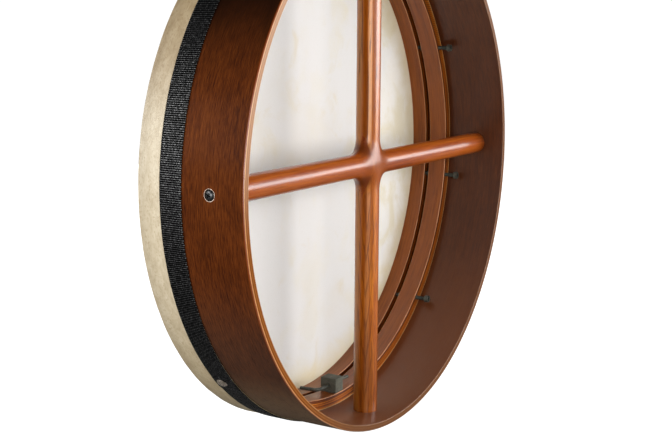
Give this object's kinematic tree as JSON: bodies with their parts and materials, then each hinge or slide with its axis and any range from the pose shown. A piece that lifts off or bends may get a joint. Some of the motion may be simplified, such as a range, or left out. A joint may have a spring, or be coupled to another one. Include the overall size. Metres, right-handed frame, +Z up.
{
  "type": "bodhran",
  "caption": "Tunable Irish frame drum: bent ply shell, goatskin head, grip cross, and an inner hoop pushed by socket-head screws.",
  "frame": {"origin": "middle of the wooden grip cross, where the player's hand holds the drum, 31 mm in from the back rim", "axes": "+Y along the drum's axis out through the skin, so the open back faces -Y; +Z up along the upright bar; +X along the level bar"},
  "size_m": [0.4598, 0.0988, 0.4598],
  "materials": {
    "shell_wood": "satin stained bent plywood",
    "goatskin": "translucent natural goatskin",
    "ribbed_tape": "woven ribbed cotton tape, matt",
    "nickel": "nickel plated, slightly tarnished",
    "hoop_wood": "satin stained bent wood",
    "black_steel": "black oxide",
    "bar_wood": "satin oiled hardwood",
    "block_rubber": "matt rubber"
  },
  "bodies": {
    "drum": {"shell": "shell_wood", "head_skin": "goatskin", "edge_tape": "ribbed_tape", "tape_tack": "nickel", "fixed_hoop": "hoop_wood", "t_nuts": "black_steel", "upright_bar": "bar_wood", "level_bar": "bar_wood", "bar_screws": "black_steel", "key_block": "block_rubber"},
    "tuning_hoop": {"tuning_hoop": "hoop_wood"},
    "tuning_screw_01": {"tuning_screw_01": "black_steel"},
    "tuning_screw_02": {"tuning_screw_02": "black_steel"},
    "tuning_screw_03": {"tuning_screw_03": "black_steel"},
    "tuning_screw_04": {"tuning_screw_04": "black_steel"},
    "tuning_screw_05": {"tuning_screw_05": "black_steel"},
    "tuning_screw_06": {"tuning_screw_06": "black_steel"},
    "tuning_screw_07": {"tuning_screw_07": "black_steel"},
    "tuning_screw_08": {"tuning_screw_08": "black_steel"},
    "tuning_screw_09": {"tuning_screw_09": "black_steel"},
    "tuning_screw_10": {"tuning_screw_10": "black_steel"},
    "hex_key": {"hex_key": "black_steel"}
  },
  "joints": [
    {"name": "hoop_travel", "type": "slide", "parent": "drum", "child": "tuning_hoop", "axis": [0, 1, 0], "range_m": [-0.003, 0.003], "deforming": ["head_skin"]},
    {"name": "screw_turn_01", "type": "hinge", "parent": "tuning_hoop", "child": "tuning_screw_01", "pos_m": [0.21391, 0, -0.03465], "axis": [0, 1, 0], "range_deg": [-1545, 1545]},
    {"name": "screw_turn_02", "type": "hinge", "parent": "tuning_hoop", "child": "tuning_screw_02", "pos_m": [0.19342, 0, 0.09771], "axis": [0, 1, 0], "range_deg": [-1545, 1545]},
    {"name": "screw_turn_03", "type": "hinge", "parent": "tuning_hoop", "child": "tuning_screw_03", "pos_m": [0.09905, 0, 0.19274], "axis": [0, 1, 0], "range_deg": [-1545, 1545]},
    {"name": "screw_turn_04", "type": "hinge", "parent": "tuning_hoop", "child": "tuning_screw_04", "pos_m": [-0.03315, 0, 0.21415], "axis": [0, 1, 0], "range_deg": [-1545, 1545]},
    {"name": "screw_turn_05", "type": "hinge", "parent": "tuning_hoop", "child": "tuning_screw_05", "pos_m": [-0.15269, 0, 0.15376], "axis": [0, 1, 0], "range_deg": [-1545, 1545]},
    {"name": "screw_turn_06", "type": "hinge", "parent": "tuning_hoop", "child": "tuning_screw_06", "pos_m": [-0.21391, 0, 0.03465], "axis": [0, 1, 0], "range_deg": [-1545, 1545]},
    {"name": "screw_turn_07", "type": "hinge", "parent": "tuning_hoop", "child": "tuning_screw_07", "pos_m": [-0.19342, 0, -0.09771], "axis": [0, 1, 0], "range_deg": [-1545, 1545]},
    {"name": "screw_turn_08", "type": "hinge", "parent": "tuning_hoop", "child": "tuning_screw_08", "pos_m": [-0.09905, 0, -0.19274], "axis": [0, 1, 0], "range_deg": [-1545, 1545]},
    {"name": "screw_turn_09", "type": "hinge", "parent": "tuning_hoop", "child": "tuning_screw_09", "pos_m": [0.03315, 0, -0.21415], "axis": [0, 1, 0], "range_deg": [-1545, 1545]},
    {"name": "screw_turn_10", "type": "hinge", "parent": "tuning_hoop", "child": "tuning_screw_10", "pos_m": [0.15269, 0, -0.15376], "axis": [0, 1, 0], "range_deg": [-1545, 1545]},
    {"name": "key_slide", "type": "slide", "parent": "drum", "child": "hex_key", "axis": [-1, 0, 0], "range_m": [0, 0.02]}
  ],
  "couplings": [
    {"joint": "screw_turn_01", "follows": "hoop_travel", "rad_per_m": 8976},
    {"joint": "screw_turn_02", "follows": "hoop_travel", "rad_per_m": 8976},
    {"joint": "screw_turn_03", "follows": "hoop_travel", "rad_per_m": 8976},
    {"joint": "screw_turn_04", "follows": "hoop_travel", "rad_per_m": 8976},
    {"joint": "screw_turn_05", "follows": "hoop_travel", "rad_per_m": 8976},
    {"joint": "screw_turn_06", "follows": "hoop_travel", "rad_per_m": 8976},
    {"joint": "screw_turn_07", "follows": "hoop_travel", "rad_per_m": 8976},
    {"joint": "screw_turn_08", "follows": "hoop_travel", "rad_per_m": 8976},
    {"joint": "screw_turn_09", "follows": "hoop_travel", "rad_per_m": 8976},
    {"joint": "screw_turn_10", "follows": "hoop_travel", "rad_per_m": 8976}
  ]
}
